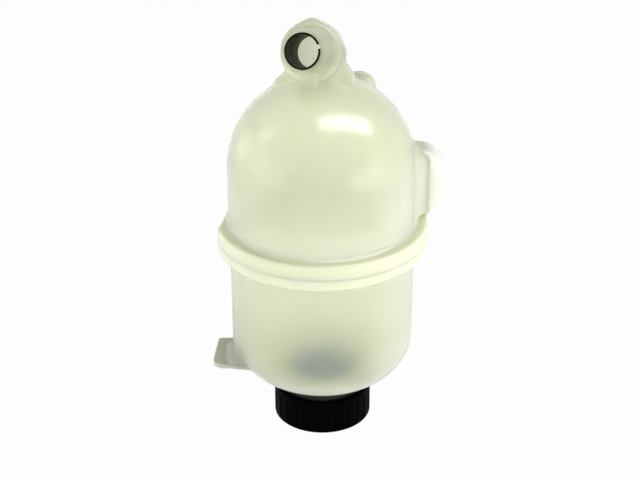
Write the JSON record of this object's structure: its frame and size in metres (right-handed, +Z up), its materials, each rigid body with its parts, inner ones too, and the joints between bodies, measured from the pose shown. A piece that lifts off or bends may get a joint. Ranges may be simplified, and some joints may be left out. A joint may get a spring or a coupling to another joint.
{
  "type": "coolant reservoir",
  "caption": "Translucent plastic coolant tank of two welded shells with a domed end, screw cap with pressure valve, hose nipples, bushed lug and side tongue.",
  "frame": {"origin": "centre of the cap's flat outer face, on which the tank stands", "axes": "+Z up the tank's axis towards the dome, +X towards the side port housing, +Y towards the hose nipples at the back"},
  "size_m": [0.1403, 0.1361, 0.2586],
  "materials": {
    "shell_plastic": "satin",
    "cap_plastic": "satin",
    "insert_plastic": "satin",
    "rubber": "matte",
    "spring_steel": "satin",
    "bush_steel": "dull",
    "valve_brass": "satin"
  },
  "bodies": {
    "tank": {"upper_shell": "shell_plastic", "lower_shell": "shell_plastic", "lug_bush": "bush_steel"},
    "insert": {"valve_housing": "insert_plastic", "housing_o_ring": "rubber", "spring_retainer": "insert_plastic", "pressure_spring": "spring_steel"},
    "cap": {"cap_cover": "cap_plastic"},
    "pressure_valve": {"pressure_plate": "bush_steel", "pressure_plate_seal": "rubber", "vacuum_spring": "spring_steel"},
    "vacuum_poppet": {"vacuum_valve": "valve_brass", "vacuum_clip": "valve_brass"}
  },
  "joints": [
    {"name": "cap_lift", "type": "slide", "parent": "tank", "child": "insert", "axis": [0, 0, -1], "range_m": [0, 0.008]},
    {"name": "cap_turn", "type": "hinge", "parent": "insert", "child": "cap", "pos_m": [0, 0, 0], "axis": [0, 0, -1], "range_deg": [0, 720]},
    {"name": "pressure_lift", "type": "slide", "parent": "insert", "child": "pressure_valve", "axis": [0, 0, -1], "range_m": [0, 0.002], "stiffness_N_per_m": 1300, "springref_m": -0.021, "deforming": ["pressure_spring"]},
    {"name": "vacuum_lift", "type": "slide", "parent": "pressure_valve", "child": "vacuum_poppet", "axis": [0, 0, 1], "range_m": [0, 0.0012], "stiffness_N_per_m": 300, "springref_m": -0.001, "deforming": ["vacuum_spring"]}
  ],
  "couplings": [
    {"joint": "cap_lift", "follows": "cap_turn", "m_per_rad": 0.0006366}
  ]
}
